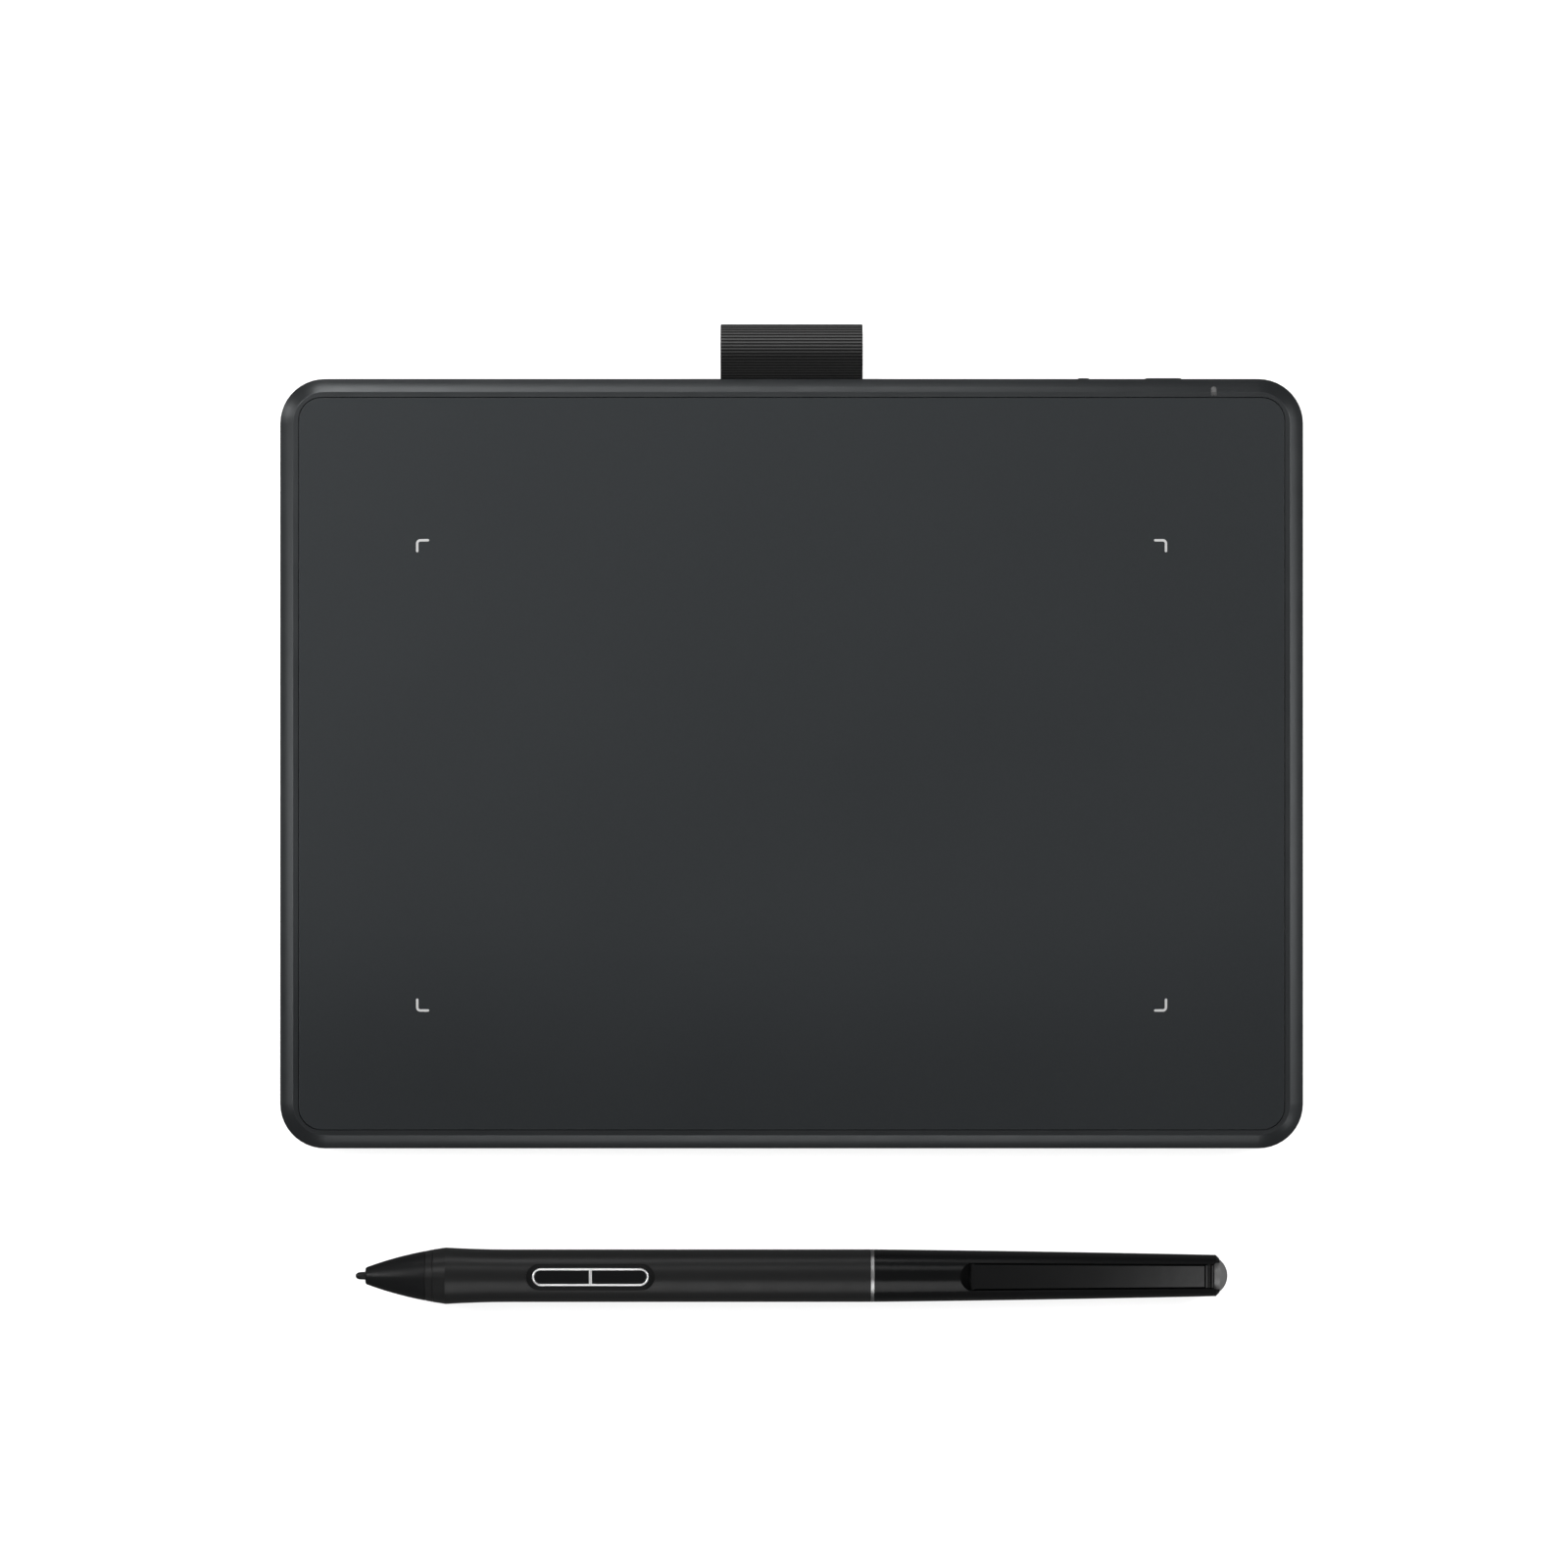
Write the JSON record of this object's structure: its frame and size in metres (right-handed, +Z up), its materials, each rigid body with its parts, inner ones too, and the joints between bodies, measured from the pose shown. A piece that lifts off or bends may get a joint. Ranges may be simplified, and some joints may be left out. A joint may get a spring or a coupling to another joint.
{
  "type": "pen drawing tablet",
  "caption": "Slim wireless pen drawing tablet with a sloped edge, rear controls, a ribbed fabric pen loop and a stylus with keys and a clip.",
  "frame": {"origin": "centre of the set's footprint, on the surface that the tablet's feet and the pen lie on", "axes": "+X to the user's right along the tablet's long side, +Y away from the user towards the pen loop, +Z up out of the drawing surface"},
  "size_m": [0.218, 0.209, 0.0121],
  "materials": {
    "casing_plastic": "satin, finely textured",
    "sheet_plastic": "matt, paper-like",
    "bottom_plastic": "matt, finely textured",
    "foot_rubber": "matt",
    "screw_steel": "blackened",
    "light_guide": "translucent, milky",
    "loop_fabric": "ribbed elastic weave",
    "rod_steel": "drawn",
    "board_laminate": "solder mask",
    "shield_foil": "rolled",
    "chip_resin": "moulded",
    "connector_plastic": "moulded",
    "socket_steel": "drawn",
    "dark_plastic": "moulded",
    "lamp_resin": "clear",
    "button_plastic": "satin",
    "battery_foil": "laminated foil",
    "lead_red": "insulation",
    "lead_black": "insulation",
    "ribbon_film": "polyimide",
    "nib_plastic": "smooth",
    "nose_plastic": "satin",
    "grip_rubber": "satin, soft",
    "key_plastic": "smooth",
    "chrome_trim": "polished",
    "barrel_plastic": "semi-gloss",
    "clip_plastic": "semi-gloss",
    "cap_plastic": "satin grey",
    "ferrite": "sintered",
    "coil_copper": "enamelled wire"
  },
  "bodies": {
    "tablet": {"top_cover": "casing_plastic", "drawing_surface": "sheet_plastic", "bottom_cover": "bottom_plastic", "rubber_feet": "foot_rubber", "case_screws": "screw_steel", "light_guide": "light_guide", "pen_loop": "loop_fabric", "loop_rod": "rod_steel", "sensor_board": "board_laminate", "shield_plate": "shield_foil", "control_board": "board_laminate", "board_screws": "screw_steel", "control_chips": "chip_resin", "usb_socket_shell": "socket_steel", "usb_socket_tongue": "dark_plastic", "status_led": "lamp_resin", "power_switch_body": "dark_plastic", "mode_switch_body": "dark_plastic", "battery": "battery_foil", "battery_connector": "connector_plastic", "battery_lead_red": "lead_red", "battery_lead_black": "lead_black", "ribbon_connectors": "connector_plastic", "sensor_ribbon": "ribbon_film"},
    "pen": {"pen_nose_cone": "nose_plastic", "pen_front_barrel": "grip_rubber", "pen_key_frame": "chrome_trim", "pen_ring": "chrome_trim", "pen_rear_barrel": "barrel_plastic", "pen_clip_anchor": "barrel_plastic", "pen_tail_cap": "cap_plastic", "pen_ferrite_core": "ferrite", "pen_coil": "coil_copper", "pen_pressure_sensor": "dark_plastic", "pen_chassis": "dark_plastic", "pen_board": "board_laminate", "pen_tact_switches": "socket_steel"},
    "power_button": {"power_button": "button_plastic", "power_switch_plunger": "connector_plastic"},
    "mode_knob": {"mode_switch_knob": "button_plastic"},
    "nib": {"pen_nib": "nib_plastic"},
    "front_key": {"pen_front_key": "key_plastic"},
    "rear_key": {"pen_rear_key": "key_plastic"},
    "clip": {"pen_clip": "clip_plastic"}
  },
  "joints": [
    {"name": "power_button_press", "type": "slide", "parent": "tablet", "child": "power_button", "axis": [0, -1, 0], "range_m": [0, 0.0003], "stiffness_N_per_m": 3000},
    {"name": "mode_switch_slide", "type": "slide", "parent": "tablet", "child": "mode_knob", "axis": [1, 0, 0], "range_m": [0, 0.002]},
    {"name": "pen_lift", "type": "slide", "parent": "tablet", "child": "pen", "axis": [0, 0, 1], "range_m": [0, 0.05]},
    {"name": "nib_press", "type": "slide", "parent": "pen", "child": "nib", "axis": [1, 0, -0.0047], "range_m": [0, 0.0005], "stiffness_N_per_m": 8000},
    {"name": "front_key_press", "type": "slide", "parent": "pen", "child": "front_key", "axis": [-0.0047, 0, -1], "range_m": [0, 0.0003], "stiffness_N_per_m": 3000},
    {"name": "rear_key_press", "type": "slide", "parent": "pen", "child": "rear_key", "axis": [-0.0047, 0, -1], "range_m": [0, 0.0003], "stiffness_N_per_m": 3000},
    {"name": "clip_flex", "type": "hinge", "parent": "pen", "child": "clip", "pos_m": [0.08663, -0.09849, 0.00748], "axis": [0, 1, 0], "range_deg": [0, 3], "stiffness_Nm_per_rad": 2.5}
  ]
}
